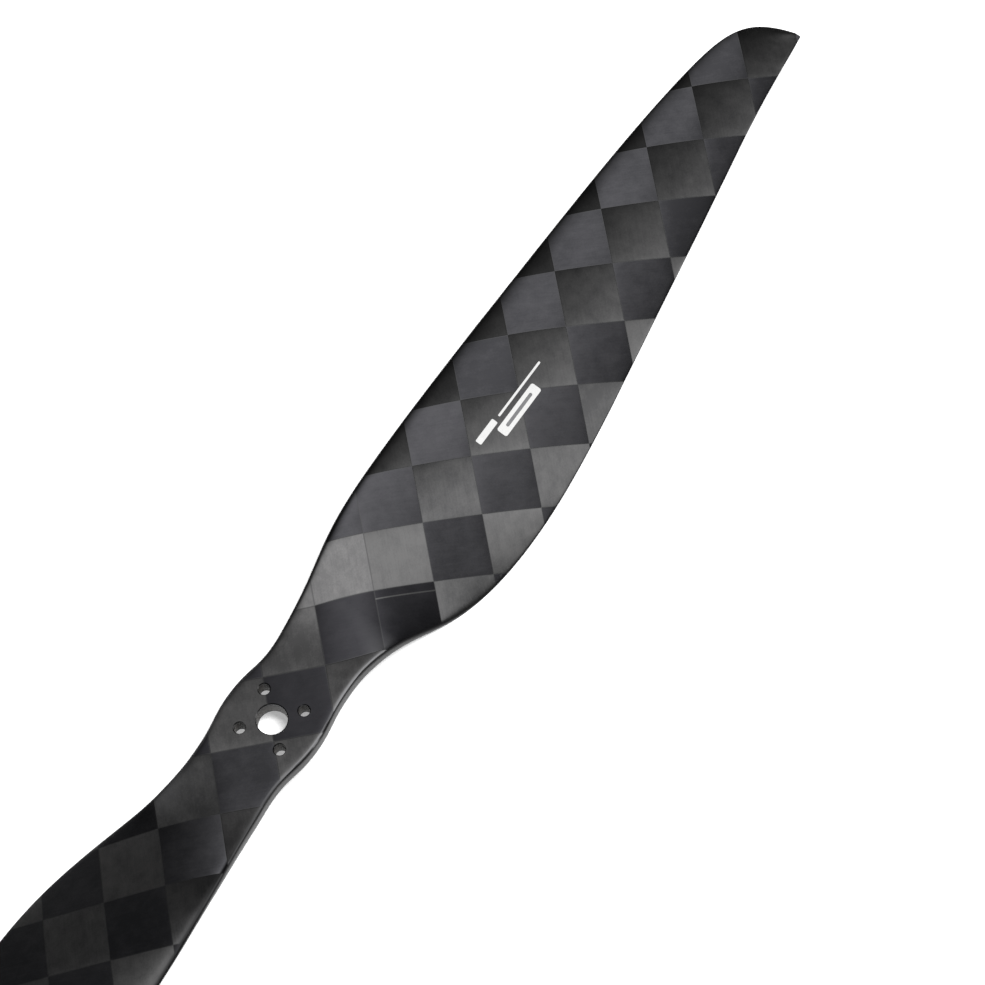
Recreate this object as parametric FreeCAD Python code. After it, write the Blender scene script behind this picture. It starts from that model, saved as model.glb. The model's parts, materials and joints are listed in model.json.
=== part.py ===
import FreeCAD, Part
import math
import os

# Two-bladed moulded carbon sandwich propeller, turning anticlockwise seen from above, millimetres.
# Origin: centre of the hub. +Z: spin axis, towards the thrust side. +X: along blade A. Blade B is blade A
# turned half a turn about Z. The leading edge of blade A faces +Y.

# ---- driving dimensions -------------------------------------------------------------------------
RADIUS = 355.6              # 28 inch propeller
HUB_THICKNESS = 8.0
PITCH = 213.0               # advance in one turn
TWIST_START = 26.0          # the hub is flat out to here
TWIST_FULL = 89.0           # full helix angle from here outwards
HELIX_MIN_RADIUS = 71.0     # inside this radius the helix angle stops growing
CAMBER = 0.035              # of the chord
SKIN = 0.4                  # carbon laminate
CAP = 0.5                   # unidirectional spar strip
DOUBLER = 0.4               # extra plies at the hub

BLADE_START = 28.0          # the hub's slab section starts to turn into an airfoil
BLADE_FULL = 108.0          # the section is a full airfoil from here outwards
TIP_START = 330.0           # the camber fades and the section evens out from here to the tip

BORE_RADIUS = 6.0
SCREW_CIRCLE_RADIUS = 12.5
SCREW_RADIUS = 2.25         # clearance for M4
SCREW_COUNT = 4
SCREW_START_ANGLE = 49.5    # degrees from blade A to the first screw hole
RIM_CHAMFER = 0.3
SEAT_LENGTH = 33.0          # flat oval in the middle of each hub face, where a motor or clamp bears
SEAT_WIDTH = 30.8

NOSE_LAND = 1.6             # width where the two skins lie on each other, at the leading edge
TAIL_LAND = 3.2             # and at the trailing edge
RIM_HALF_GAP = 0.22         # half height of the space between the skins at its rim
BOND_WIDTH = 2.5
HUB_BLOCK_END = 34.0
CAP_END = 262.0
CAP_HALF_WIDTH = 6.0        # of the strip along a blade
CAP_SPREAD = 7.5            # added to it at the hub, so that it takes in the screw holes
CAP_SPREAD_START = 30.0
CAP_SPREAD_END = 100.0
CAP_PLACE_HUB = 0.50        # the strip's centre line, in chords from the leading edge
CAP_PLACE_BLADE = 0.38
FOAM_END = 316.0
CAVITY_END = 338.0
DOUBLER_LENGTH = 56.0
DOUBLER_WIDTH = 26.0

CLEAR = 100.0               # half size of a cutting shape that has to pass the blade's width and height
OVERRUN = 6.0               # how far a cutting shape runs past what it cuts
STATION_MARGIN = 5.0        # a listed station closer than this to the end of a piece is left out

# Blade stations: distance from the axis, leading edge, trailing edge, thickness.
STATIONS = [
    (0.0, 20.1, -20.1, HUB_THICKNESS),
    (8.5, 19.5, -19.5, HUB_THICKNESS),
    (17.0, 17.4, -17.6, HUB_THICKNESS),
    (25.0, 17.3, -17.1, HUB_THICKNESS),
    (33.0, 18.3, -17.0, 8.0),
    (42.0, 19.4, -18.3, 7.9),
    (52.0, 20.9, -20.6, 7.7),
    (62.0, 22.9, -24.7, 7.5),
    (73.0, 24.7, -29.6, 7.2),
    (87.0, 26.4, -33.8, 6.8),
    (104.0, 27.6, -36.6, 6.3),
    (125.0, 28.4, -37.5, 5.7),
    (149.0, 28.7, -35.9, 5.2),
    (178.0, 28.6, -32.2, 4.6),
    (210.0, 28.2, -27.0, 4.0),
    (243.0, 27.6, -21.8, 3.5),
    (275.0, 26.6, -16.6, 3.0),
    (300.0, 25.0, -12.2, 2.6),
    (319.0, 23.2, -9.2, 2.3),
    (332.0, 21.2, -7.7, 2.0),
    (341.0, 18.3, -6.7, 1.7),
    (347.0, 14.2, -6.1, 1.45),
    (351.0, 9.3, -5.7, 1.2),
    (354.0, 3.2, -5.4, 0.9),
    (RADIUS, -2.6, -5.2, 0.0),
]

# Section outline, from leading to trailing edge: fraction of the chord and of the half thickness.
# The blade has an airfoil, and the hub has flat faces with rounded sides (offsets there in mm).
BLADE_SECTION = [
    (0.0, 0.0), (0.0, 0.28), (0.02, 0.50), (0.07, 0.74), (0.16, 0.93), (0.32, 1.04), (0.50, 0.97),
    (0.68, 0.76), (0.84, 0.50), (0.94, 0.30), (0.985, 0.19), (1.0, 0.13), (1.0, 0.0),
]
HUB_CORNER = [(0.0, 0.0), (0.0, 0.40), (0.0, 0.85), (0.9, 1.0), (3.5, 1.0)]
COLUMNS = len(BLADE_SECTION)


# ---- shape of the blade -------------------------------------------------------------------------
def smooth(value):
    value = min(max(value, 0.0), 1.0)
    return value * value * (3.0 - 2.0 * value)


def slope(x):
    """Helix slope of the section at distance x from the axis."""
    ramp = smooth((x - TWIST_START) / (TWIST_FULL - TWIST_START))
    return ramp * PITCH / (2.0 * math.pi * max(x, HELIX_MIN_RADIUS))


def bladeness(x):
    """0 at the slab-like hub, 1 where the section is a full airfoil."""
    return smooth((x - BLADE_START) / (BLADE_FULL - BLADE_START))


def tipness(x):
    """0 inside the tip, 1 at its very end."""
    return smooth((x - TIP_START) / (RADIUS - TIP_START))


def hub_section(chord):
    """Flat faces and rounded sides, as fractions of the chord and of the half thickness."""
    corner = [(offset / chord, height) for offset, height in HUB_CORNER]
    flat = [(0.30, 1.0), (0.50, 1.0), (0.70, 1.0)]
    return corner + flat + [(1.0 - offset, height) for offset, height in reversed(corner)]


def section(x, chord):
    blend = bladeness(x)
    points = []
    for column, (hub, blade) in enumerate(zip(hub_section(chord), BLADE_SECTION)):
        along = hub[0] + (blade[0] - hub[0]) * blend
        even = column / (COLUMNS - 1.0)
        height = hub[1] + (blade[1] - hub[1]) * blend
        points.append((along + (even - along) * tipness(x), height))
    return points


def chord_height(x, lead, trail, y):
    """Height of the mean surface at y in the section at x."""
    along = (lead - y) / (lead - trail)
    rise = 4.0 * along * (1.0 - along) * CAMBER * (lead - trail)
    return y * slope(x) + rise * bladeness(x) * (1.0 - tipness(x))


def station(x):
    """Leading edge, trailing edge and thickness at distance x, between the listed stations."""
    for inner, outer in zip(STATIONS, STATIONS[1:]):
        if x <= outer[0]:
            share = (x - inner[0]) / (outer[0] - inner[0])
            return [a + (b - a) * share for a, b in zip(inner[1:], outer[1:])]
    return list(STATIONS[-1][1:])


def half_thickness(x, y):
    """Half of the blade's thickness at a point of the planform."""
    lead, trail, thickness = station(x)
    along = (lead - y) / (lead - trail)
    points = section(x, lead - trail)
    for first, second in zip(points, points[1:]):
        if first[0] <= along <= second[0] and second[0] > first[0]:
            share = (along - first[0]) / (second[0] - first[0])
            return thickness / 2.0 * (first[1] + (second[1] - first[1]) * share)
    return 0.0


def distances(start, end):
    """Distances from the axis at which a piece between start and end takes its sections."""
    listed = [s[0] for s in STATIONS if start + STATION_MARGIN < s[0] < end - STATION_MARGIN]
    return [start] + listed + [end]


# ---- solids from grids of control points --------------------------------------------------------
def whole(rows):
    """Rows of blade A from the axis outwards, with those of blade B, half a turn round, before them."""
    half_turn = []
    for row in reversed(rows[1:]):
        half_turn.append([FreeCAD.Vector(-p.x, -p.y, p.z) for p in reversed(row)])
    return half_turn + rows


def clamped_knots(poles):
    return [float(k) for k in range(poles - 2)], [4] + [1] * (poles - 4) + [4]


def spline_face(rows):
    """Cubic face that follows a grid of control points."""
    u_knots, u_mults = clamped_knots(len(rows))
    v_knots, v_mults = clamped_knots(len(rows[0]))
    surface = Part.BSplineSurface()
    surface.buildFromPolesMultsKnots(rows, u_mults, v_mults, u_knots, v_knots, False, False, 3, 3)
    return surface.toShape()


def spline_edge(points):
    knots, mults = clamped_knots(len(points))
    curve = Part.BSplineCurve()
    curve.buildFromPolesMultsKnots(points, mults, knots, False, 3)
    return curve.toShape()


def closed_solid(faces):
    shell = Part.makeShell(faces)
    shell.sewShape()
    solid = Part.Solid(Part.Shell(shell.Faces))
    if solid.Volume < 0:
        solid.reverse()
    return solid


def between(top, bottom):
    """Solid between two grids with the same plan, with upright walls on all four sides."""
    faces = [spline_face(top), spline_face(bottom)]
    rims = [(grid[0], grid[-1], [row[0] for row in grid], [row[-1] for row in grid]) for grid in (top, bottom)]
    for high, low in zip(*rims):
        faces.append(Part.makeRuledSurface(spline_edge(high), spline_edge(low)))
    return closed_solid(faces)


def oval_column(length, width, start, height):
    """Upright column over an oval round the axis."""
    oval = Part.Ellipse(FreeCAD.Vector(0, 0, 0), length / 2.0, width / 2.0).toShape()
    disc = Part.Face(Part.Wire([oval]))
    disc.translate(FreeCAD.Vector(0, 0, start))
    return disc.extrude(FreeCAD.Vector(0, 0, height))


# ---- outer shape --------------------------------------------------------------------------------
def outer_rows(side):
    """Upper (side 1) or lower (side -1) surface; side 0 is the mean surface, where the moulds meet."""
    rows = []
    for x, lead, trail, thickness in STATIONS:
        row = []
        for column, (along, height) in enumerate(section(x, lead - trail)):
            if side == 0:
                along = column / (COLUMNS - 1.0)
            y = lead + (trail - lead) * along
            z = chord_height(x, lead, trail, y) + side * height * thickness / 2.0
            row.append(FreeCAD.Vector(x, y, z))
        rows.append(row)
    return whole(rows)


def with_seat(face):
    """The face in two parts: the flat oval in the middle of the hub as a plane, and all that is round it."""
    around = face.cut(oval_column(SEAT_LENGTH, SEAT_WIDTH, -CLEAR, 2.0 * CLEAR)).Faces[0]
    rim = [wire for wire in around.Wires if not wire.isSame(around.OuterWire)][0]
    edges = [Part.Edge(edge.Curve, edge.FirstParameter, edge.LastParameter) for edge in rim.Edges]
    return [around, Part.Face(Part.Wire(edges))]


def half_body(side):
    return closed_solid(with_seat(spline_face(outer_rows(side))) + [spline_face(outer_rows(0))])


# ---- space between the skins, and what fills it -------------------------------------------------
def below_surface(x, y, side, depth):
    """Height of the point that lies depth inside the upper (side 1) or lower (side -1) surface."""
    lead, trail = station(x)[:2]
    return chord_height(x, lead, trail, y) + side * (half_thickness(x, y) - depth)


def inner_lead(x):
    return station(x)[0] - NOSE_LAND


def inner_trail(x):
    land = NOSE_LAND + (TAIL_LAND - NOSE_LAND) * bladeness(x)
    return station(x)[1] + land


def cavity():
    """Everything inside the two skins."""
    grids = []
    for side in (1, -1):
        rows = []
        for x in distances(0.0, CAVITY_END):
            lead, trail = station(x)[:2]
            row = []
            for along, height in section(x, lead - trail):
                y = inner_lead(x) + (inner_trail(x) - inner_lead(x)) * along
                rim = chord_height(x, lead, trail, y) + side * RIM_HALF_GAP
                under_skin = below_surface(x, y, side, SKIN)
                row.append(FreeCAD.Vector(x, y, max(rim, under_skin) if side > 0 else min(rim, under_skin)))
            rows.append(row)
        grids.append(whole(rows))
    return between(grids[0], grids[1])


def cap_space(side):
    """Strip under a skin along the thickest part of both blades, spread wide at the hub."""
    outside = []
    inside = []
    for x in distances(0.0, CAP_END):
        lead, trail = station(x)[:2]
        place = CAP_PLACE_HUB + (CAP_PLACE_BLADE - CAP_PLACE_HUB) * bladeness(x)
        spread = 1.0 - smooth((x - CAP_SPREAD_START) / (CAP_SPREAD_END - CAP_SPREAD_START))
        half_width = CAP_HALF_WIDTH + CAP_SPREAD * spread
        outside.append([])
        inside.append([])
        for share in (1.0, 0.5, 0.0, -0.5, -1.0):
            y = lead - place * (lead - trail) + half_width * share
            outside[-1].append(FreeCAD.Vector(x, y, below_surface(x, y, side, 0.0)))
            inside[-1].append(FreeCAD.Vector(x, y, below_surface(x, y, side, SKIN + CAP)))
    if side > 0:
        return between(whole(outside), whole(inside))
    return between(whole(inside), whole(outside))


def doubler_space(side):
    """Oval of extra plies under the spar layer, flat like the hub face."""
    inner_face = HUB_THICKNESS / 2.0 - SKIN - CAP - DOUBLER
    return oval_column(DOUBLER_LENGTH, DOUBLER_WIDTH, side * inner_face, side * HUB_THICKNESS)


def slab(start, end):
    """Everything between two distances along blade A."""
    return Part.makeBox(end - start, 2.0 * CLEAR, 2.0 * CLEAR, FreeCAD.Vector(start, -CLEAR, -CLEAR))


def edge_space(edge_of, side):
    """Everything from a bond's inner border to beyond the edge on the leading (1) or trailing (-1) side."""
    along = distances(HUB_BLOCK_END - OVERRUN, FOAM_END + OVERRUN)
    line = [FreeCAD.Vector(x, edge_of(x) - side * BOND_WIDTH, -CLEAR) for x in along]
    outer_corners = [FreeCAD.Vector(x, side * CLEAR, -CLEAR) for x in (along[-1], along[0])]
    straight = Part.makePolygon([line[-1]] + outer_corners + [line[0]])
    outline = Part.Face(Part.Wire([spline_edge(line)] + straight.Edges))
    return outline.extrude(FreeCAD.Vector(0, 0, 2.0 * CLEAR))


# ---- bore and screw holes -----------------------------------------------------------------------
def drilled(radius):
    """Hole through the hub with a chamfered rim at both faces."""
    half = HUB_THICKNESS / 2.0
    wide = radius + RIM_CHAMFER
    hole = Part.makeCylinder(radius, 2.0 * HUB_THICKNESS, FreeCAD.Vector(0, 0, -HUB_THICKNESS))
    upper = Part.makeCone(radius, wide, RIM_CHAMFER, FreeCAD.Vector(0, 0, half - RIM_CHAMFER))
    lower = Part.makeCone(wide, radius, RIM_CHAMFER, FreeCAD.Vector(0, 0, -half))
    return hole.fuse([upper, lower])


def hub_holes():
    holes = [drilled(BORE_RADIUS)]
    for number in range(SCREW_COUNT):
        angle = math.radians(SCREW_START_ANGLE + 360.0 / SCREW_COUNT * number)
        hole = drilled(SCREW_RADIUS)
        place = FreeCAD.Vector(math.cos(angle), math.sin(angle), 0) * SCREW_CIRCLE_RADIUS
        hole.translate(place)
        holes.append(hole)
    return holes


# ---- the pieces ---------------------------------------------------------------------------------
def without(shape, tools):
    for tool in tools:
        shape = shape.cut(tool)
    return shape


def half_turn(shape):
    turned = shape.copy()
    turned.rotate(FreeCAD.Vector(0, 0, 0), FreeCAD.Vector(0, 0, 1), 180.0)
    return turned


def skins(space, holes):
    return {
        "upper_skin": without(half_body(1), [space] + holes),
        "lower_skin": without(half_body(-1), [space] + holes),
    }


def spar_caps(space, holes):
    return {
        "upper_spar_cap": without(space.common(cap_space(1)), holes),
        "lower_spar_cap": without(space.common(cap_space(-1)), holes),
    }


def hub_parts(filling, holes):
    doublers = [doubler_space(1), doubler_space(-1)]
    middle = filling.common(slab(-HUB_BLOCK_END, HUB_BLOCK_END))
    return {
        "upper_hub_doubler": without(middle.common(doublers[0]), holes),
        "lower_hub_doubler": without(middle.common(doublers[1]), holes),
        "hub_block": without(middle, doublers + holes),
    }


def blade_parts(filling):
    span = filling.common(slab(HUB_BLOCK_END, FOAM_END))
    nose = edge_space(inner_lead, 1)
    tail = edge_space(inner_trail, -1)
    return {
        "foam_core": without(span, [nose, tail]),
        "leading_edge_bond": span.common(nose),
        "trailing_edge_bond": span.common(tail),
        "tip_filler": filling.common(slab(FOAM_END, RADIUS)),
    }


def main():
    os.makedirs("parts", exist_ok=True)
    space = cavity()
    holes = hub_holes()
    pieces = {}
    filling = without(space, [cap_space(1), cap_space(-1)])
    pieces.update(skins(space, holes))
    pieces.update(spar_caps(space, holes))
    pieces.update(hub_parts(filling, holes))
    for name, shape in blade_parts(filling).items():
        pieces["blade_a_" + name] = shape
        pieces["blade_b_" + name] = half_turn(shape)
    body = sum(without(half_body(side), holes).Volume for side in (1, -1))
    filled = sum(shape.Volume for shape in pieces.values())
    print("pieces fill %.4f of the body" % (filled / body))
    for name, shape in pieces.items():
        if len(shape.Solids) != 1 or not shape.isValid():
            raise RuntimeError(name + " is not one sound solid")
        print("%-30s %9.1f mm3" % (name, shape.Volume))
        shape.Solids[0].exportStep("parts/%s.step" % name)


main()
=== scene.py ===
"""The looks of a two-bladed carbon propeller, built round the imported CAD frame."""
import json
import math

import bmesh
import bpy
import numpy as np
from mathutils import Matrix, Vector


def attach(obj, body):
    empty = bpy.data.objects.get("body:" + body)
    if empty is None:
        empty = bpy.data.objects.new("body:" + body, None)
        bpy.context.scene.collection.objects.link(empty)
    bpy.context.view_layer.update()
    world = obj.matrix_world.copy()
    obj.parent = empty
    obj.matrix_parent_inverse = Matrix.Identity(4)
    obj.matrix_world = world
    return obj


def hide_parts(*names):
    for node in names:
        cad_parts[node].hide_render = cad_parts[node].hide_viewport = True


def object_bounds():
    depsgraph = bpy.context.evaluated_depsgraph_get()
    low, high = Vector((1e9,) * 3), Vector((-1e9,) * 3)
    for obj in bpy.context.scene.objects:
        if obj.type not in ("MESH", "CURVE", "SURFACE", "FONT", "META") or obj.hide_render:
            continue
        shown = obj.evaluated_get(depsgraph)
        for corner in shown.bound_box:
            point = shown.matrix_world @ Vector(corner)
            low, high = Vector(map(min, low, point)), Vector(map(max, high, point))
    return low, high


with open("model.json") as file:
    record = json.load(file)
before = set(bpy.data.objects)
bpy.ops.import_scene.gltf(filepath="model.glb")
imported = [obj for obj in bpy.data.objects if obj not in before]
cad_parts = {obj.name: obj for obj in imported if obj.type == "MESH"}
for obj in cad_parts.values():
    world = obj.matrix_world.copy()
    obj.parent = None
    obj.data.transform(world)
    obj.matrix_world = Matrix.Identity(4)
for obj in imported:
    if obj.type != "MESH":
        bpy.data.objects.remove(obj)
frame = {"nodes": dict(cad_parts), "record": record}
cad_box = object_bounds()
low, high = Vector(cad_box[0]), Vector(cad_box[1])
radius = high.x
MM = 0.001

# ---- cloth, in the propeller's own plane: u at +45 degrees to the blade, w at -45 degrees ---------
# where tows of a new width begin, and that width
TOWS_U = ((-8.9 * MM, 24.3 * MM), (-8.9 * MM, 26.1 * MM), (43.3 * MM, 23.6 * MM))
TOWS_W = ((-0.7 * MM, 23.9 * MM), (23.2 * MM, 23.0 * MM))
LAP = 2.0                   # tows of w past which the blade's cloth covers the hub's
LAP_CORNER = (2.0, 1.0)     # tows of u and w between which its corner shows at the leading edge
LAP_STRIP = (1.865, 2.0)    # places, in tows of u and w, of the narrow strip left by a cut tow
BORDER = (0.016, 0.005)     # half widths of the line between two tows, in tows
DRAPE = 0.16                # lean of the tows round the root of a blade
DRAPE_RISE = (25.0 * MM, 45.0 * MM)
DRAPE_FALL = (190.0 * MM, 45.0 * MM)
HUB_SHEEN_TOWS = (0.5, 1.5)    # middle and half width, in tows of w, of the hub's tows along u that get a painted sheen
ROOT_SHADE_TOWS = (1.0, 1.0)      # the same in tows of u, of the root's tows along w that get painted shade
TIP_SHADE_SPAN = (235.0 * MM, 275.0 * MM)     # distances between which painted shade darkens the tows along w
TIP_SHADING = 0.10          # and by how much of the tone

# A noise is given by its scale, in parts per metre, its detail and its roughness.

# what a tow's tone, about 0 to 1, is made of
FINE_STREAKS = (38.0, 0.14)     # streaks across a tow, and their share
COARSE_STREAKS = (9.0, 0.14)
STREAK_LENGTH = 2.5             # streaks along a tow's width
STREAK_NOISE = (1.0, 3.0, 0.6)  # in streaks, not metres
CLOUD_SHARE = 0.72
PATCHES = (150.0, 4.0, 0.65)    # the cloud's two noises
GRAIN = (1500.0, 3.0, 0.7)
GRAIN_SHARE = 0.35              # of the cloud
TOW_SHARE = 0.16                # from tow to tow
CHECK_SHARE = 0.10              # from check to check
SEED_U, SEED_W, SEED_CHECK = 3.0, 7.0, 5.0
TONES = (0.37, 0.66)            # tones of the weakest and the strongest colour

# reflected colours, weakest and strongest; the tows along u carry a painted sheen over those along w
ALONG_U_LIT = ((0.058, 0.058, 0.059), (0.104, 0.103, 0.103))
# the hub's tows along u, with a painted sheen
ALONG_U_HUB_SHEEN = ((0.098, 0.097, 0.098), (0.172, 0.169, 0.169))
ALONG_W_SHADED = ((0.033, 0.033, 0.036), (0.058, 0.0575, 0.062))
# the root's tows along w, with painted shade
ALONG_W_ROOT_SHADE = ((0.020, 0.020, 0.0225), (0.033, 0.0325, 0.036))
TOW_EDGE = (0.052, 0.052, 0.053)
CUT_EDGE = (0.085, 0.085, 0.085)
# colour of the painted shade on steep sides and leading edges
EDGE_SHADE = (0.012, 0.012, 0.0125)
# colour of the painted highlight along the hub's top edge
HUB_RIM_HIGHLIGHT = (0.15, 0.15, 0.155)
SCUFF = (0.20, 0.20, 0.20)
# how far the colour goes to each of them
TOW_EDGE_COVER = 0.6
NOSE_SHADE_COVER = 0.75
HUB_RIM_HIGHLIGHT_COVER = 0.8
SCUFF_COVER = 0.6

# where the edges are, by the upward and forward parts of the normal
STEEP = (0.86, 0.58)        # painted shade on a steep edge begins, and is full
SCUFFED = (0.87, 0.82)      # scuffs begin, and are full
NOSE_SHADE = (0.00, 0.25)         # painted shade on a leading edge begins, and is darkest
NOSE_SHADE_FROM = 50.0 * MM       # distance from the axis at which it has got as dark as on the blade
HUB_RIM_HIGHLIGHT_TURN = (0.990, 0.950, 0.850, 0.740)     # the painted highlight on the hub's rim begins, is full to, and ends
HUB_RIM_HIGHLIGHT_END = (54.0 * MM, 40.0 * MM)            # distances from the axis where it is gone and full
CHIPS = (700.0, 3.0, 0.7)       # the marks in a scuff, and the values where they begin and are full
CHIPS_SHOWN = (0.58, 0.70)
SCUFF_PATCHES = (45.0, 2.0, 0.5)        # where along the edges scuffs are
SCUFF_PATCHES_SHOWN = (0.54, 0.64)

# the cloth's gloss and relief
FIBRE_SHINE = 0.85              # 0 would shine alike in all directions
ACROSS_FIBRES = 0.25            # a quarter turn
ROUGHNESS = 0.60
CLOUD_ROUGHNESS = 0.10          # added by the cloud
EDGE_ROUGHNESS = -0.34          # added at the steep edges
RELIEF = 0.08 * MM              # of a tow's crown
CROWN_POWER = 5.0               # how flat the crown's top is
RELIEF_STREAKS = 45.0           # streaks across a tow in the relief, and their share
RELIEF_STREAK_SHARE = 0.06

# ---- inner pieces and print: two pairs of tone and colour each -------------------------------------
PLIES_COLOURS = ((0.3, (0.012, 0.012, 0.013)), (0.75, (0.05, 0.05, 0.05)))
INSERT_COLOURS = ((0.3, (0.008, 0.007, 0.006)), (0.72, (0.045, 0.037, 0.029)))
FOAM_COLOURS = ((0.1, (0.83, 0.80, 0.70)), (0.7, (0.60, 0.56, 0.45)))
RESIN_COLOURS = ((0.3, (0.20, 0.17, 0.12)), (0.75, (0.42, 0.37, 0.28)))
WHITE_INK = ((0.28, (0.30, 0.30, 0.30)), (0.45, (0.49, 0.49, 0.485)))
GREY_INK = ((0.28, (0.16, 0.16, 0.16)), (0.45, (0.07, 0.07, 0.075)))
FLOOR_COLOUR = (0.9, 0.9, 0.9, 1.0)
PLY_FIBRES = (30.0, 2500.0)             # fibres per metre along and across
INSERT_LAYERS = (60.0, 60.0, 2600.0)    # patches of a layer per metre, and layers
FOAM_CELL = 0.7 * MM

# ---- printed marks on a blade: (from, to, middle across, width, corner radius) ---------------------
TITLE_BAR = (135.2 * MM, 146.6 * MM, -0.3 * MM, 2.6 * MM, 0.5 * MM)
TITLE_LINE = (149.0 * MM, 176.9 * MM, -0.4 * MM, 0.9 * MM, 0.4 * MM)
TAG = (144.0 * MM, 168.0 * MM, -5.1 * MM, 4.5 * MM, 0.9 * MM)
TAG_BAR = (147.6 * MM, 164.4 * MM, -5.1 * MM, 1.3 * MM, 0.6 * MM)
INK = 0.03 * MM             # thickness of the print
INK_STEP = 1.0 * MM         # between its rows
PRINT_ROUND = 7             # points round a mark's corner
PRINT_ACROSS = 9            # and across it

# ---- the finer meshes of the skins ----------------------------------------------------------------
ACROSS = 57                 # points over the outside of a section
LINING = 33                 # points along the lining
CROWDING = 0.88             # share of the spacing that is closer at the ends of a section
STEP = 2.5 * MM             # between sections, along the leading edge
TIP_STEP = 1.0 * MM
TIP_FINE = (0.80, 0.92)     # shares of the radius between which the sections draw together
TIP_MARGIN = 0.02 * MM      # from the last section to the very tip
EDGE_SAMPLES = 1500         # places at which the leading edge is measured
TOO_NEAR = 0.3 * TIP_STEP   # a section closer than this to the end of the cavity is left out
CAVITY_MARGIN = 0.005 * MM  # from the end of the cavity to the sections on its two sides
SAME_POINT = 1e-7           # points of a cut closer than this are one
WELD = 0.002 * MM           # points of a finished mesh closer than this are one
SHARP = math.radians(35.0)
ON_EDGE_TRIES = 6           # rounds of finding where a curved mesh edge meets a section
HOLE_SIDES = 96
REACH = 3.0                 # how far a hole's cutter runs past its chamfer, in chamfers
CHAMFER_UP = (0.5, 0.9)     # a chamfer's upward part of the normal
CHAMFER_DEPTH = 1.1         # a face deeper than this, in chamfers, isn't one

# ---- the set ----------------------------------------------------------------------------------------
FLOOR = 4.0                 # half size
FLOOR_GAP = 0.2 * MM        # below the propeller
FLOOR_GLOW = 0.35
SURROUND = 0.13
SOFTBOX_PLACE = (0.18, -0.47, 1.6)
SOFTBOX_AIM = (0.18, -0.47, 0.0)
SOFTBOX_SIZE = (0.5, 0.8)
SOFTBOX_BRIGHTNESS = 36.0
CAMERA_PLACE = (-0.8659, -1.1352, 3.7675)       # in propeller radii
CAMERA_FORWARD = (0.29501, 0.26601, -0.91772)
CAMERA_UP = (0.76756, 0.50603, 0.39342)
LENS = 138.98
SENSOR = 36.0


# ---- reading the frame's surfaces -----------------------------------------------------------------
class Face:
    """One smooth face of a CAD node: its triangles, with the exact normal at every corner."""

    def __init__(self, points, normals, triangles):
        self.points = points
        self.normals = normals
        self.triangles = triangles
        sides = np.concatenate([triangles[:, [0, 1]], triangles[:, [1, 2]], triangles[:, [2, 0]]])
        self.edges, place = np.unique(np.sort(sides, axis=1), axis=0, return_inverse=True)
        self.sides = place.reshape(3, -1).T
        flat = np.cross(points[triangles[:, 1]] - points[triangles[:, 0]],
                        points[triangles[:, 2]] - points[triangles[:, 0]])
        self.area = np.linalg.norm(flat, axis=1).sum() / 2.0
        self.up = flat[:, 2].sum() / 2.0 / self.area

    def section(self, x):
        """Runs of points and directions (y, z, dy, dz) where the plane at x cuts it, from +y to -y."""
        start, end = self.points[self.edges[:, 0]], self.points[self.edges[:, 1]]
        crossed = np.flatnonzero((start[:, 0] < x) != (end[:, 0] < x))
        start, end = start[crossed], end[crossed]
        n_start, n_end = self.normals[self.edges[crossed, 0]], self.normals[self.edges[crossed, 1]]
        places, normals = curved_edge(start, end, n_start, n_end, x)
        along = np.stack([-normals[:, 2], normals[:, 1]], axis=1)
        along /= np.linalg.norm(along, axis=1)[:, None]
        rows = np.hstack([places[:, 1:], along])
        number = np.full(len(self.edges), -1)
        number[crossed] = np.arange(len(crossed))
        links = [[] for _ in crossed]
        for sides in number[self.sides[(number[self.sides] >= 0).sum(axis=1) == 2]]:
            first, second = sides[sides >= 0]
            links[first].append(second)
            links[second].append(first)
        runs = [tidy_run(rows[chain]) for chain in chains(links)]
        return sorted(runs, key=lambda run: -run[0, 0])


def curved_edge(start, end, n_start, n_end, x):
    """Where mesh edges, bent to follow the normals at their ends, pass through the plane at x."""
    side = end - start
    near = start + (side - (side * n_start).sum(1)[:, None] * n_start) / 3.0
    far = end - (side - (side * n_end).sum(1)[:, None] * n_end) / 3.0
    turn = 2.0 * (side * (n_start + n_end)).sum(1) / (side * side).sum(1)
    middle = n_start + n_end - turn[:, None] * side
    middle /= np.linalg.norm(middle, axis=1)[:, None]
    t = ((x - start[:, 0]) / side[:, 0])[:, None]
    for _ in range(ON_EDGE_TRIES):
        s = 1.0 - t
        place = s ** 3 * start + 3 * s * s * t * near + 3 * s * t * t * far + t ** 3 * end
        speed = 3 * s * s * (near - start) + 6 * s * t * (far - near) + 3 * t * t * (end - far)
        t = np.clip(t - (place[:, :1] - x) / speed[:, :1], 0.0, 1.0)
    s = 1.0 - t
    place = s ** 3 * start + 3 * s * s * t * near + 3 * s * t * t * far + t ** 3 * end
    normal = s * s * n_start + s * t * middle + t * t * n_end
    return place, normal / np.linalg.norm(normal, axis=1)[:, None]


def chains(links):
    """Numbers of the crossed edges in the order in which the cut passes them, one list for each run."""
    left = set(range(len(links)))
    found = []
    while left:
        ends = [k for k in left if len(links[k]) < 2]
        step = ends[0] if ends else min(left)
        chain = []
        while step is not None:
            chain.append(step)
            left.discard(step)
            step = next((k for k in links[step] if k in left), None)
        found.append(chain)
    return found


def tidy_run(run):
    """The run from +y to -y, without repeated points, and with its directions pointing along it."""
    if run[0, 0] < run[-1, 0]:
        run = run[::-1]
    steps = np.linalg.norm(np.diff(run[:, :2], axis=0), axis=1)
    run = run[np.concatenate([[True], steps > SAME_POINT])]
    ahead = np.gradient(run[:, :2], axis=0) if len(run) > 1 else np.array([[-1.0, 0.0]])
    flip = np.where((ahead * run[:, 2:]).sum(1) < 0.0, -1.0, 1.0)
    run[:, 2:] *= flip[:, None]
    return run


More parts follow.
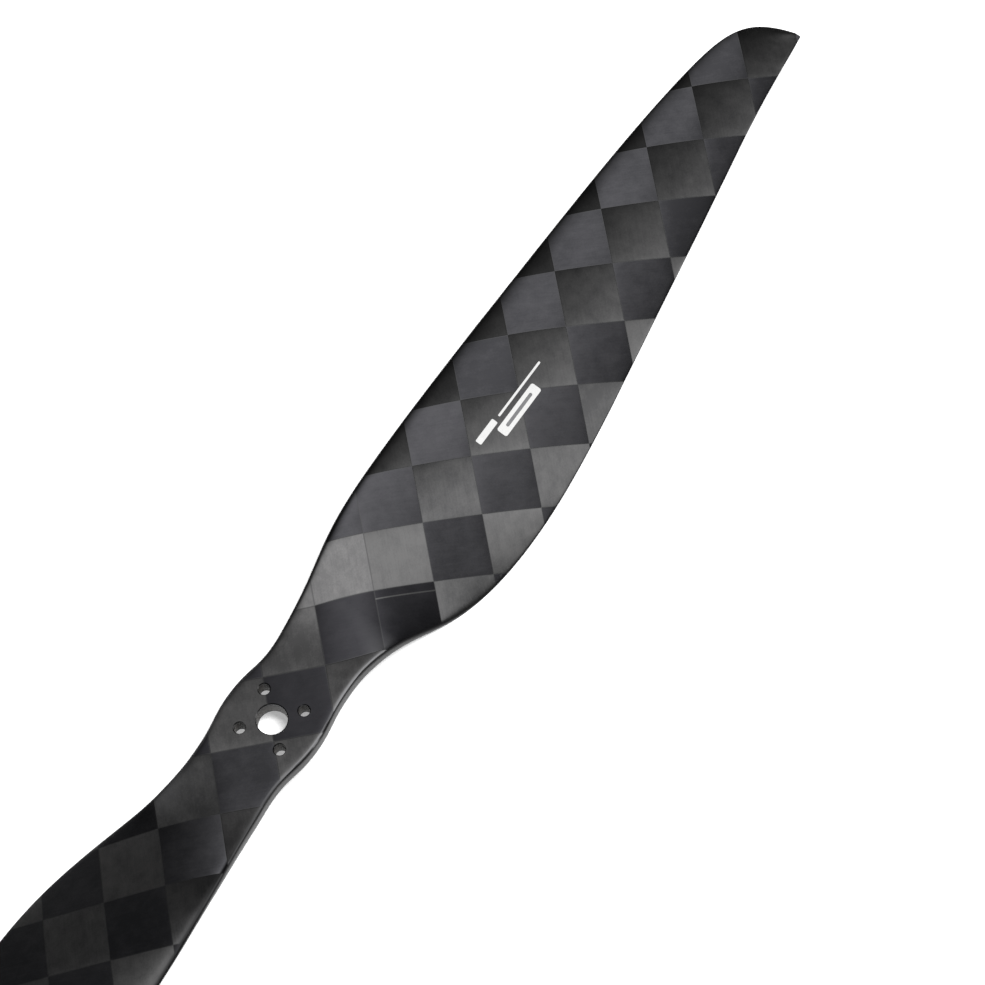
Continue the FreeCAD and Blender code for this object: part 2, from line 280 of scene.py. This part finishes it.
def faces_of(node):
    """The smooth faces of a CAD node, largest first."""
    mesh = frame["nodes"][node].data
    points = np.empty(len(mesh.vertices) * 3)
    mesh.vertices.foreach_get("co", points)
    points = points.reshape(-1, 3)
    corners = np.empty(len(mesh.loops), int)
    mesh.loops.foreach_get("vertex_index", corners)
    corner_normals = np.empty(len(mesh.loops) * 3)
    mesh.corner_normals.foreach_get("vector", corner_normals)
    normals = np.zeros_like(points)
    normals[corners] = corner_normals.reshape(-1, 3)
    triangles = corners.reshape(-1, 3)
    group = np.arange(len(points))
    while True:
        lowest = group[triangles].min(axis=1)
        joined = group.copy()
        for column in range(3):
            np.minimum.at(joined, triangles[:, column], lowest)
        joined = joined[joined]
        if (joined == group).all():
            break
        group = joined
    faces = []
    for number in np.unique(group[triangles[:, 0]]):
        members = np.flatnonzero(group == number)
        renumber = np.full(len(points), -1)
        renumber[members] = np.arange(len(members))
        own = triangles[group[triangles[:, 0]] == number]
        faces.append(Face(points[members], normals[members], renumber[own]))
    return sorted(faces, key=lambda face: -face.area)


# ---- curves across a blade ------------------------------------------------------------------------
FINE = np.linspace(0.0, 1.0, 13)[:-1]


def fine_curve(run):
    """A run's points joined by smooth arcs that keep its directions, as many short steps."""
    pieces = []
    for first, second in zip(run, run[1:]):
        reach = np.linalg.norm(second[:2] - first[:2])
        t = FINE[:, None]
        pieces.append(
            (2 * t ** 3 - 3 * t * t + 1) * first[:2] + (t ** 3 - 2 * t * t + t) * reach * first[2:]
            + (3 * t * t - 2 * t ** 3) * second[:2] + (t ** 3 - t * t) * reach * second[2:]
        )
    return np.vstack(pieces + [run[-1:, :2]])


def spread(curve, shares):
    """Points of a fine curve at shares of its length."""
    steps = np.linalg.norm(np.diff(curve, axis=0), axis=1)
    length = np.concatenate([[0.0], np.cumsum(steps)])
    wanted = np.asarray(shares) * length[-1]
    return np.stack([np.interp(wanted, length, curve[:, k]) for k in range(2)], axis=1)


def crowded_ends(count):
    """Shares from 0 to 1, close together at both ends, where the edges curve most."""
    even = np.linspace(0.0, 1.0, count)
    return (1.0 - CROWDING) * even + CROWDING * (1.0 - np.cos(np.pi * even)) / 2.0


class Skin:
    """The faces of a skin's CAD node that its finer mesh follows."""

    def __init__(self, node, side):
        faces = faces_of(node)
        self.outside = next(face for face in faces if face.up * side > 0.5)
        self.lining = next(face for face in faces if face.up * side < -0.5)
        self.rim = next(face for face in faces if face.up * side < -0.5 and face is not self.lining)
        self.cavity_end = self.lining.points[:, 0].max()
        self.tip = self.outside.points[:, 0].max()
        self.inner_shares = self.shares_at_cavity_end()

    def lands(self, x):
        """Where the two skins lie on each other: at both edges, or all across past the cavity."""
        return [fine_curve(run) for run in self.rim.section(x)]

    def lining_points(self, x):
        return spread(fine_curve(np.vstack(self.lining.section(x))), crowded_ends(LINING))

    def shares_at_cavity_end(self):
        """Places of the inside points in chords from the leading edge, where the cavity ends."""
        x = self.cavity_end - CAVITY_MARGIN
        lead, trail = self.lands(x)
        inside = np.concatenate([lead[-1:, 0], self.lining_points(x)[:, 0], trail[:1, 0]])
        return (lead[0, 0] - inside) / (lead[0, 0] - trail[-1, 0])

    def ring(self, x):
        """Closed section at x: over the outside to the trailing edge, and back along the inside."""
        outside = spread(fine_curve(np.vstack(self.outside.section(x))), crowded_ends(ACROSS))
        if x < self.cavity_end:
            lead, trail = self.lands(x)
            inside = np.vstack([lead[-1:], self.lining_points(x), trail[:1]])
        else:
            middle = self.lands(x)[0]
            y = middle[0, 0] + (middle[-1, 0] - middle[0, 0]) * self.inner_shares
            z = np.interp(-y, -middle[:, 0], middle[:, 1])
            inside = np.stack([y, z], axis=1)
        return np.vstack([outside, inside[::-1]])

    def stations(self):
        """Distances from the axis, evenly spaced along the leading edge and closer towards the tip."""
        xs = np.linspace(0.0, self.tip - TIP_MARGIN, EDGE_SAMPLES)
        ys = np.array([self.rim.section(x)[0][0, 0] for x in xs[1:]])
        ys = np.concatenate([ys[:1], ys])
        length = np.concatenate([[0.0], np.cumsum(np.hypot(np.diff(xs), np.diff(ys)))])
        begin, end = TIP_FINE
        near = np.clip((xs - begin * self.tip) / ((end - begin) * self.tip), 0.0, 1.0)
        spacing = STEP + (TIP_STEP - STEP) * near[1:]
        passed = np.concatenate([[0.0], np.cumsum(np.diff(length) / spacing)])
        count = int(np.ceil(passed[-1]))
        found = np.interp(np.linspace(0.0, passed[-1], count + 1), passed, xs)
        around = [self.cavity_end - CAVITY_MARGIN, self.cavity_end + CAVITY_MARGIN]
        found = found[np.abs(found - self.cavity_end) > TOO_NEAR]
        return np.sort(np.concatenate([found, around]))


def ring_mesh(name, rings_a, stations):
    """Closed mesh over both blades from the rings of blade A."""
    count = len(rings_a[0])
    rows = []
    for x, ring in zip(stations[::-1][:-1], rings_a[::-1][:-1]):
        flipped = np.vstack([ring[:ACROSS][::-1], ring[ACROSS:][::-1]])
        rows.append(np.column_stack([np.full(count, -x), -flipped[:, 0], flipped[:, 1]]))
    for x, ring in zip(stations, rings_a):
        rows.append(np.column_stack([np.full(count, x), ring[:, 0], ring[:, 1]]))
    points = np.vstack(rows)
    quads = []
    for row in range(len(rows) - 1):
        for column in range(count):
            following = (column + 1) % count
            a, b = row * count + column, row * count + following
            quads.append((a, b, b + count, a + count))
    quads.append(tuple(range(count))[::-1])
    quads.append(tuple(range((len(rows) - 1) * count, len(rows) * count)))
    mesh = bpy.data.meshes.new(name)
    mesh.from_pydata(points.tolist(), [], quads)
    mesh.validate()
    return mesh


# ---- materials ------------------------------------------------------------------------------------
class Nodes:
    """Short calls for building a material's node tree."""

    def __init__(self, name, **settings):
        self.material = bpy.data.materials.new(name)
        self.material.use_nodes = True
        self.tree = self.material.node_tree
        self.shader = self.tree.nodes["Principled BSDF"]
        for key, value in settings.items():
            self.shader.inputs[key.replace("_", " ")].default_value = value

    def link(self, source, target):
        if isinstance(source, (int, float, tuple)):
            target.default_value = source
        else:
            self.tree.links.new(source, target)

    def colour_from(self, source):
        self.link(source, self.shader.inputs["Base Color"])

    def roughness_from(self, source):
        self.link(source, self.shader.inputs["Roughness"])

    def place(self):
        return self.tree.nodes.new("ShaderNodeTexCoord").outputs["Object"]

    def facing(self):
        """The surface's normal, in the object's own directions."""
        return self.tree.nodes.new("ShaderNodeTexCoord").outputs["Normal"]

    def parts(self, vector):
        node = self.tree.nodes.new("ShaderNodeSeparateXYZ")
        self.link(vector, node.inputs[0])
        return node.outputs[0], node.outputs[1], node.outputs[2]

    def join(self, x, y, z=0.0):
        node = self.tree.nodes.new("ShaderNodeCombineXYZ")
        for source, target in zip((x, y, z), node.inputs):
            self.link(source, target)
        return node.outputs[0]

    def math(self, operation, first, second=0.0, third=0.0, clamp=False):
        node = self.tree.nodes.new("ShaderNodeMath")
        node.operation = operation
        node.use_clamp = clamp
        for source, target in zip((first, second, third), node.inputs):
            self.link(source, target)
        return node.outputs[0]

    def ramp(self, value, zero, one):
        """0 where value is at zero, 1 where it is at one, straight between them."""
        scale = 1.0 / (one - zero)
        return self.math("MULTIPLY_ADD", value, scale, -zero * scale, clamp=True)

    def noise(self, vector, scale, detail=2.0, roughness=0.5):
        node = self.tree.nodes.new("ShaderNodeTexNoise")
        self.link(vector, node.inputs["Vector"])
        node.inputs["Scale"].default_value = scale
        node.inputs["Detail"].default_value = detail
        node.inputs["Roughness"].default_value = roughness
        return node.outputs["Fac"]

    def random(self, vector):
        node = self.tree.nodes.new("ShaderNodeTexWhiteNoise")
        self.link(vector, node.inputs["Vector"])
        return node.outputs["Value"]

    def blend(self, factor, first, second):
        node = self.tree.nodes.new("ShaderNodeMix")
        self.link(factor, node.inputs["Factor"])
        self.link(first, node.inputs["A"])
        self.link(second, node.inputs["B"])
        return node.outputs["Result"]

    def mixed(self, factor, first, second):
        """Colour between two colours, which are inputs 6 and 7 of a Mix node."""
        node = self.tree.nodes.new("ShaderNodeMix")
        node.data_type = "RGBA"
        self.link(factor, node.inputs["Factor"])
        for colour, target in ((first, node.inputs[6]), (second, node.inputs[7])):
            self.link((*colour, 1.0) if isinstance(colour, tuple) else colour, target)
        return node.outputs[2]

    def colours(self, factor, *stops):
        node = self.tree.nodes.new("ShaderNodeValToRGB")
        ramp = node.color_ramp
        while len(ramp.elements) < len(stops):
            ramp.elements.new(0.5)
        for element, (position, colour) in zip(ramp.elements, stops):
            element.position = position
            element.color = (*colour, 1.0)
        self.link(factor, node.inputs["Fac"])
        return node.outputs["Color"]

    def bump(self, height, strength, distance):
        node = self.tree.nodes.new("ShaderNodeBump")
        node.inputs["Strength"].default_value = strength
        node.inputs["Distance"].default_value = distance
        self.link(height, node.inputs["Height"])
        self.link(node.outputs["Normal"], self.shader.inputs["Normal"])


def tow_count(n, distance, zones):
    """Tows passed since the first zone begins, where each zone has tows of its own width."""
    (begin, width), *others = zones
    total = n.math("MULTIPLY_ADD", distance, 1.0 / width, -begin / width)
    for begin, changed in others:
        beyond = n.math("MAXIMUM", n.math("SUBTRACT", distance, begin), 0.0)
        total = n.math("MULTIPLY_ADD", beyond, 1.0 / changed - 1.0 / width, total)
        width = changed
    return total


def streaks(n, along, across, count):
    """Fibre streaks of one tow direction, by their count across a tow."""
    place = n.join(n.math("MULTIPLY", along, STREAK_LENGTH), n.math("MULTIPLY", across, count))
    return n.noise(place, *STREAK_NOISE)


def tow_tone(n, along, across, own, cell, cloud):
    """Brightness of a tow, about 0 to 1: fibre streaks, cloudy patches and its own shade."""
    tone = n.math("MULTIPLY", cloud, CLOUD_SHARE)
    for count, share in (FINE_STREAKS, COARSE_STREAKS):
        tone = n.math("MULTIPLY_ADD", streaks(n, along, across, count), share, tone)
    for shade, share in ((own, TOW_SHARE), (cell, CHECK_SHARE)):
        tone = n.math("MULTIPLY_ADD", n.math("SUBTRACT", shade, 0.5), share, tone)
    return tone


def tow_colour(n, tone, tows, painted_tows, usual_pair, painted_pair):
    """Colour of the tows of one direction from their tone, with a few tows in painted sheen (the hub's
    tows along u) and painted shade (the root's tows along w).
    """
    middle, half_width = painted_tows
    painted = n.math("LESS_THAN", n.math("ABSOLUTE", n.math("SUBTRACT", tows, middle)), half_width)
    usual, other = [n.colours(tone, *zip(TONES, pair)) for pair in (usual_pair, painted_pair)]
    return n.mixed(painted, usual, other)


def crown(n, within):
    """Height of a tow that dives under its neighbours at both ends."""
    off = n.math("ABSOLUTE", n.math("MULTIPLY_ADD", within, 2.0, -1.0))
    return n.math("SUBTRACT", 1.0, n.math("POWER", off, CROWN_POWER))


def tow_edges(n, u, w):
    """1 on the thin lines between tows, 0 elsewhere."""
    near = n.math("MINIMUM", n.math("PINGPONG", u, 0.5), n.math("PINGPONG", w, 0.5))
    return n.ramp(near, *BORDER)


def cut_edge(n, u, w):
    """1 along the edge of the tow that is cut short at the root of a blade."""
    beside = n.ramp(n.math("ABSOLUTE", n.math("SUBTRACT", u, LAP_STRIP[0])), *BORDER)
    reach = n.math("LESS_THAN", n.math("ABSOLUTE", n.math("SUBTRACT", w, LAP_STRIP[1] + 0.5)), 0.5)
    return n.math("MULTIPLY", beside, reach)


def cloth_places(n, x, y):
    """Tows counted along u and along w, with their lean round the root of a blade."""
    diagonal = math.sqrt(0.5)
    lean = n.math("MULTIPLY", n.math("MULTIPLY", n.ramp(x, *DRAPE_RISE), n.ramp(x, *DRAPE_FALL)), DRAPE)
    u = n.math("MULTIPLY_ADD", lean, y, n.math("MULTIPLY", n.math("ADD", x, y), diagonal))
    w = n.math("MULTIPLY", n.math("SUBTRACT", x, y), diagonal)
    return tow_count(n, u, TOWS_U), tow_count(n, w, TOWS_W)


def tows_on_top(n, u, w, row, column):
    """1 where the tows along u lie on top, 0 where the tows along w do."""
    past_corner = n.math("GREATER_THAN", u, LAP_CORNER[0])
    corner = n.math("MULTIPLY", past_corner, n.math("LESS_THAN", w, LAP_CORNER[1]))
    blade_cloth = n.math("MAXIMUM", n.math("GREATER_THAN", w, LAP), corner)
    return n.math("PINGPONG", n.math("ADD", n.math("ADD", row, column), blade_cloth), 1.0)


def edge_colours(n, colour, place, x):
    """The cloth's colour with a painted highlight on the hub's rim, painted shade on the leading edges,
    and scuffs, and how steep the surface is.
    """
    _, sideways, upward = n.parts(n.facing())
    upward = n.math("ABSOLUTE", upward)
    # a painted highlight along the rounded edge of the hub's flat face
    rim_begins, rim_full, rim_leaves, rim_ends = HUB_RIM_HIGHLIGHT_TURN
    turn = n.math("MULTIPLY", n.ramp(upward, rim_begins, rim_full), n.ramp(upward, rim_ends, rim_leaves))
    hub_rim_highlight = n.math("MULTIPLY", turn, n.ramp(n.math("ABSOLUTE", x), *HUB_RIM_HIGHLIGHT_END))
    colour = n.mixed(n.math("MULTIPLY", hub_rim_highlight, HUB_RIM_HIGHLIGHT_COVER), colour, HUB_RIM_HIGHLIGHT)
    # painted shade on each blade's leading edge, fading out over the hub
    side = n.math("MAXIMUM", n.math("MINIMUM", n.math("DIVIDE", x, NOSE_SHADE_FROM), 1.0), -1.0)
    nose_shade = n.ramp(n.math("MULTIPLY", sideways, side), *NOSE_SHADE)
    colour = n.mixed(n.math("MULTIPLY", nose_shade, NOSE_SHADE_COVER), colour, EDGE_SHADE)
    chips = n.ramp(n.noise(place, *CHIPS), *CHIPS_SHOWN)
    scuffs = n.math("MULTIPLY", chips, n.ramp(upward, *SCUFFED))
    scuffs = n.math("MULTIPLY", n.ramp(n.noise(place, *SCUFF_PATCHES), *SCUFF_PATCHES_SHOWN), scuffs)
    colour = n.mixed(n.math("MULTIPLY", scuffs, SCUFF_COVER), colour, SCUFF)
    return colour, n.ramp(upward, *STEEP)


def carbon_cloth():
    """Satin spread-tow cloth laid at 45 degrees to the blade, that shines across its fibres, with painted
    sheen and shade in its tows' colours.
    """
    n = Nodes("carbon_cloth", Metallic=1.0, Anisotropic=FIBRE_SHINE, Anisotropic_Rotation=ACROSS_FIBRES)
    place = n.place()
    x, y, _ = n.parts(place)
    u, w = cloth_places(n, x, y)
    row, column = n.math("FLOOR", u), n.math("FLOOR", w)
    light = tows_on_top(n, u, w, row, column)

    patches, grain = n.noise(place, *PATCHES), n.noise(place, *GRAIN)
    cloud = n.math("MULTIPLY_ADD", grain, GRAIN_SHARE, n.math("MULTIPLY", patches, 1.0 - GRAIN_SHARE))
    cell = n.random(n.join(row, column, SEED_CHECK))
    tone_light = tow_tone(n, u, w, n.random(n.join(column, SEED_U)), cell, cloud)
    tone_dark = tow_tone(n, w, u, n.random(n.join(row, SEED_W)), cell, cloud)
    # painted shade on the tows along w towards the tips
    towards_tip = n.ramp(n.math("ABSOLUTE", x), *TIP_SHADE_SPAN)
    tone_dark = n.math("MULTIPLY_ADD", towards_tip, -TIP_SHADING, tone_dark)
    # the hub's tows along u get a painted sheen, and the root's tows along w get painted shade
    lit_tows = tow_colour(n, tone_light, w, HUB_SHEEN_TOWS, ALONG_U_LIT, ALONG_U_HUB_SHEEN)
    shaded_tows = tow_colour(n, tone_dark, u, ROOT_SHADE_TOWS, ALONG_W_SHADED, ALONG_W_ROOT_SHADE)
    # the checker's contrast is partly the fibres' shine and partly painted: sheen on the tows along u,
    # shade on those along w
    colour = n.mixed(light, shaded_tows, lit_tows)
    colour = n.mixed(n.math("MULTIPLY", tow_edges(n, u, w), TOW_EDGE_COVER), colour, TOW_EDGE)
    colour = n.mixed(cut_edge(n, u, w), colour, CUT_EDGE)
    colour, steep = edge_colours(n, colour, place, x)
    # steep sides get painted shade, and are smoother
    n.colour_from(n.mixed(steep, colour, EDGE_SHADE))
    rough = n.math("MULTIPLY_ADD", cloud, CLOUD_ROUGHNESS, ROUGHNESS)
    n.roughness_from(n.math("MULTIPLY_ADD", steep, EDGE_ROUGHNESS, rough))
    fibres_y = n.math("MULTIPLY_ADD", light, 2.0, -1.0)
    n.link(n.join(1.0, fibres_y, 0.0), n.shader.inputs["Tangent"])

    in_row, in_column = n.math("SUBTRACT", u, row), n.math("SUBTRACT", w, column)
    fibres = n.blend(light, streaks(n, w, u, RELIEF_STREAKS), streaks(n, u, w, RELIEF_STREAKS))
    crowned = crown(n, n.blend(light, in_column, in_row))
    n.bump(n.math("MULTIPLY_ADD", fibres, RELIEF_STREAK_SHARE, crowned), 1.0, RELIEF)
    return n.material


def carbon_plies():
    """Unpainted plies with all their fibres along the blade."""
    n = Nodes("carbon_plies", Metallic=0.7)
    x, y, z = n.parts(n.place())
    along, across = PLY_FIBRES
    stretched = n.join(n.math("MULTIPLY", x, along), n.math("MULTIPLY", y, across), z)
    fibres = n.noise(stretched, *STREAK_NOISE)
    resin_rich = n.noise(n.place(), 90.0, 2.0, 0.5)
    tone = n.math("MULTIPLY_ADD", fibres, 0.6, n.math("MULTIPLY", resin_rich, 0.4))
    n.colour_from(n.colours(tone, *PLIES_COLOURS))
    n.roughness_from(n.math("MULTIPLY_ADD", resin_rich, -0.25, 0.58))
    n.bump(fibres, 0.6, 0.02 * MM)
    return n.material


def hub_insert():
    """Hard laminated block with thin layers, raw where it is drilled."""
    n = Nodes("hub_insert")
    axes = zip(n.parts(n.place()), INSERT_LAYERS)
    flat = n.join(*[n.math("MULTIPLY", axis, count) for axis, count in axes])
    layers = n.noise(flat, 1.0, 2.0, 0.5)
    chips = n.noise(n.place(), 1400.0, 4.0, 0.65)
    tone = n.math("MULTIPLY_ADD", layers, 0.45, n.math("MULTIPLY", chips, 0.55))
    n.colour_from(n.colours(tone, *INSERT_COLOURS))
    n.roughness_from(n.math("MULTIPLY_ADD", chips, 0.2, 0.45))
    n.bump(tone, 0.7, 0.05 * MM)
    return n.material


def foam():
    """Closed-cell structural foam."""
    n = Nodes("foam")
    cells = n.tree.nodes.new("ShaderNodeTexVoronoi")
    n.link(n.place(), cells.inputs["Vector"])
    cells.inputs["Scale"].default_value = 1.0 / FOAM_CELL
    wall = cells.outputs["Distance"]
    n.colour_from(n.colours(wall, *FOAM_COLOURS))
    n.roughness_from(n.math("MULTIPLY_ADD", n.noise(n.place(), 400.0), 0.15, 0.78))
    n.bump(wall, 0.8, 0.15 * MM)
    return n.material


def resin():
    """Filled epoxy, grey-amber with specks."""
    n = Nodes("resin", Coat_Weight=0.3, Coat_Roughness=0.3)
    specks = n.noise(n.place(), 1800.0, 3.0, 0.7)
    cloud = n.noise(n.place(), 120.0, 2.0, 0.5)
    tone = n.math("MULTIPLY_ADD", specks, 0.5, n.math("MULTIPLY", cloud, 0.5))
    n.colour_from(n.colours(tone, *RESIN_COLOURS))
    n.roughness_from(n.math("MULTIPLY_ADD", cloud, 0.2, 0.35))
    n.bump(specks, 0.5, 0.03 * MM)
    return n.material


def ink(name, colours):
    """Screen-printed ink, thinner in places."""
    n = Nodes(name)
    grain = n.noise(n.place(), 2200.0, 3.0, 0.6)
    patches = n.noise(n.place(), 260.0, 2.0, 0.5)
    cover = n.math("MULTIPLY_ADD", grain, 0.5, n.math("MULTIPLY", patches, 0.5))
    n.colour_from(n.colours(cover, *colours))
    n.roughness_from(n.math("MULTIPLY_ADD", patches, 0.2, 0.38))
    n.bump(grain, 0.3, 0.01 * MM)
    return n.material


def floor_paper():
    """Matt pale paper that glows faintly, so that the floor stays white away from the light."""
    n = Nodes("floor_paper", Roughness=0.9, Emission_Strength=FLOOR_GLOW)
    n.shader.inputs["Base Color"].default_value = FLOOR_COLOUR
    n.shader.inputs["Emission Color"].default_value = (1.0, 1.0, 1.0, 1.0)
    return n.material


def paint(node, material):
    for slot in node.material_slots:
        slot.material = material


# ---- the skins ------------------------------------------------------------------------------------
def mount(name):
    return next(m for m in frame["record"]["mounts"] if m["name"] == name)


def lathe(place, profile):
    """Closed upright shape turned round place, from a list of (radius, height)."""
    turns = HOLE_SIDES
    points, faces = [], []
    for r, z in profile:
        for k in range(turns):
            angle = 2.0 * math.pi * (k + 0.5) / turns
            points.append((place[0] + r * math.cos(angle), place[1] + r * math.sin(angle), z))
    for ring in range(len(profile) - 1):
        for k in range(turns):
            a, b = ring * turns + k, ring * turns + (k + 1) % turns
            faces.append((a, b, b + turns, a + turns))
    faces.append(tuple(range(turns))[::-1])
    faces.append(tuple(range((len(profile) - 1) * turns, len(profile) * turns)))
    return points, faces


def drill_mesh():
    """The bore and the screw holes with their chamfers, as one cutting mesh."""
    bore, circle = mount("centre_bore")["dims"], mount("screw_circle")["dims"]
    top = abs(mount("clamp_face")["pos_m"][2])
    chamfer = top - bore["length_mm"] * MM / 2.0
    holes = [((0.0, 0.0), bore["r_mm"] * MM)]
    for face in faces_of("upper_skin"):
        middle = (face.points.min(axis=0) + face.points.max(axis=0)) / 2.0
        shallow = face.points[:, 2].min() > top - CHAMFER_DEPTH * chamfer
        cone = shallow and CHAMFER_UP[0] < face.up < CHAMFER_UP[1]
        if cone and np.hypot(*middle[:2]) > bore["r_mm"] * MM:
            holes.append((middle[:2], circle["hole_r_mm"] * MM))
    points, faces = [], []
    reach = REACH * chamfer
    for place, r in holes:
        profile = [(r + reach, -top - reach + chamfer), (r, -top + chamfer), (r, top - chamfer),
                   (r + reach, top + reach - chamfer)]
        own, sides = lathe(place, profile)
        faces += [tuple(corner + len(points) for corner in side) for side in sides]
        points += own
    mesh = bpy.data.meshes.new("drills")
    mesh.from_pydata(points, [], faces)
    return mesh


def shown(name, mesh, material):
    piece = bpy.data.objects.new(name, mesh)
    bpy.context.collection.objects.link(piece)
    piece.data.materials.clear()
    piece.data.materials.append(material)
    return piece


def without_flaps(mesh):
    """Welds a mesh's points and takes out the pairs of faces that lie back to back."""
    shape = bmesh.new()
    shape.from_mesh(mesh)
    bmesh.ops.remove_doubles(shape, verts=shape.verts, dist=WELD)
    bmesh.ops.dissolve_degenerate(shape, dist=WELD, edges=shape.edges)
    bmesh.ops.triangulate(shape, faces=shape.faces)
    same = {}
    for face in shape.faces:
        same.setdefault(frozenset(face.verts), []).append(face)
    twins = [face for faces in same.values() if len(faces) > 1 for face in faces]
    bmesh.ops.delete(shape, geom=twins, context="FACES")
    shape.to_mesh(mesh)
    shape.free()


def drilled(piece, drills):
    """Cuts the holes into a piece's mesh."""
    cutter = bpy.data.objects.new("cutter", drills)
    bpy.context.collection.objects.link(cutter)
    cut = piece.modifiers.new("holes", "BOOLEAN")
    cut.object = cutter
    cut.solver = "EXACT"
    graph = bpy.context.evaluated_depsgraph_get()
    mesh = bpy.data.meshes.new_from_object(piece.evaluated_get(graph))
    piece.modifiers.clear()
    without_flaps(mesh)
    piece.data = mesh
    bpy.data.objects.remove(cutter)


def skin_piece(node, side, drills, material):
    skin = Skin(node, side)
    stations = skin.stations()
    mesh = ring_mesh(node + "_shell", [skin.ring(x) for x in stations], stations)
    piece = shown(node + "_shell", mesh, material)
    drilled(piece, drills)
    piece.data.shade_smooth()
    piece.data.set_sharp_from_angle(angle=SHARP)
    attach(piece, "root")
    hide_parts(node)
    return skin.outside


# ---- printed marks ------------------------------------------------------------------------------
def patch(outside, shape, lift, sink):
    """Closed thin rounded bar that follows the outer surface: its points and faces."""
    start, end, middle, width, corner = shape
    turn = np.linspace(0.0, np.pi / 2.0, PRINT_ROUND)
    ends = corner * (1.0 - np.cos(turn))
    rows = max(3, int((end - start) / INK_STEP))
    spacing = np.linspace(start + corner, end - corner, rows)[1:-1]
    xs = np.concatenate([start + ends, spacing, (end - ends)[::-1]])
    inset = np.concatenate([corner * (1.0 - np.sin(turn)), np.zeros(len(spacing)),
                            corner * (1.0 - np.sin(turn))[::-1]])
    across = np.linspace(-1.0, 1.0, PRINT_ACROSS)
    upper, lower = [], []
    for x, cut in zip(xs, inset):
        curve = fine_curve(np.vstack(outside.section(x)))
        for share in across:
            y = middle + share * (width / 2.0 - cut)
            z = np.interp(-y, -curve[:, 0], curve[:, 1])
            upper.append((x, y, z + lift))
            lower.append((x, y, z - sink))
    rows, columns = len(xs), len(across)
    half = rows * columns
    faces = []
    for i in range(rows - 1):
        for j in range(columns - 1):
            a = i * columns + j
            faces.append((a, a + columns, a + columns + 1, a + 1))
            faces.append((half + a, half + a + 1, half + a + columns + 1, half + a + columns))
    border = [i * columns for i in range(rows)]
    border += [(rows - 1) * columns + j for j in range(1, columns)]
    border += [i * columns + columns - 1 for i in range(rows - 2, -1, -1)]
    border += list(range(columns - 2, 0, -1))
    for a, b in zip(border, border[1:] + border[:1]):
        faces.append((b, a, half + a, half + b))
    return upper + lower, faces


def print_mark(name, outside, shapes, lift, material, turned):
    """One print on a blade; the second blade has it turned by half a turn."""
    points, faces = [], []
    for shape in shapes:
        own, sides = patch(outside, shape, lift, INK)
        faces += [tuple(corner + len(points) for corner in side) for side in sides]
        points += own
    if turned:
        points = [(-x, -y, z) for x, y, z in points]
    mesh = bpy.data.meshes.new(name)
    mesh.from_pydata(points, [], faces)
    piece = shown(name, mesh, material)
    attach(piece, "root")


finishes = {
    "carbon_laminate": carbon_cloth(),
    "carbon_plies": carbon_plies(),
    "hub_insert": hub_insert(),
    "foam": foam(),
    "resin": resin(),
}
for node in frame["nodes"].values():
    paint(node, finishes[node.material_slots[0].material.name.split(".")[0]])
drills = drill_mesh()
cloth = finishes["carbon_laminate"]
outside = skin_piece("upper_skin", 1, drills, cloth)
skin_piece("lower_skin", -1, drills, cloth)
white_ink = ink("white_ink", WHITE_INK)
grey_ink = ink("grey_ink", GREY_INK)
for blade, turned in (("a", False), ("b", True)):
    print_mark(f"blade_{blade}_print", outside, (TITLE_BAR, TITLE_LINE, TAG), INK, white_ink, turned)
    print_mark(f"blade_{blade}_tag_bar", outside, (TAG_BAR,), 2.0 * INK, grey_ink, turned)


# ---- floor, light and camera --------------------------------------------------------------------
def floor():
    mesh = bpy.data.meshes.new("floor")
    corners = [(-FLOOR, -FLOOR), (FLOOR, -FLOOR), (FLOOR, FLOOR), (-FLOOR, FLOOR)]
    mesh.from_pydata([(x, y, low.z - FLOOR_GAP) for x, y in corners], [], [(0, 1, 2, 3)])
    piece = bpy.data.objects.new("floor", mesh)
    bpy.context.collection.objects.link(piece)
    mesh.materials.append(floor_paper())


def softbox():
    lamp = bpy.data.lights.new("softbox", "AREA")
    lamp.shape = "RECTANGLE"
    lamp.size, lamp.size_y = SOFTBOX_SIZE
    lamp.energy = SOFTBOX_BRIGHTNESS * math.pi * lamp.size * lamp.size_y
    piece = bpy.data.objects.new("softbox", lamp)
    bpy.context.collection.objects.link(piece)
    piece.location = SOFTBOX_PLACE
    aim = Vector(SOFTBOX_AIM) - Vector(SOFTBOX_PLACE)
    piece.rotation_euler = aim.to_track_quat("-Z", "Y").to_euler()


def surround():
    studio = bpy.data.worlds.new("studio")
    studio.use_nodes = True
    back = studio.node_tree.nodes["Background"]
    back.inputs["Color"].default_value = (1, 1, 1, 1)
    back.inputs["Strength"].default_value = SURROUND
    bpy.context.scene.world = studio


def camera():
    """Above the hub, looking along blade A, tilted so that the hub's near side shows."""
    lens = bpy.data.cameras.new("camera")
    lens.sensor_width = SENSOR
    lens.lens = LENS
    piece = bpy.data.objects.new("camera", lens)
    bpy.context.collection.objects.link(piece)
    forward = Vector(CAMERA_FORWARD).normalized()
    right = forward.cross(Vector(CAMERA_UP)).normalized()
    up = right.cross(forward)
    axes = Matrix((right, up, -forward)).transposed()
    piece.matrix_world = Matrix.Translation(Vector(CAMERA_PLACE) * radius) @ axes.to_4x4()
    bpy.context.scene.camera = piece


floor()
surround()
softbox()
camera()
bpy.context.scene.view_settings.view_transform = "Standard"
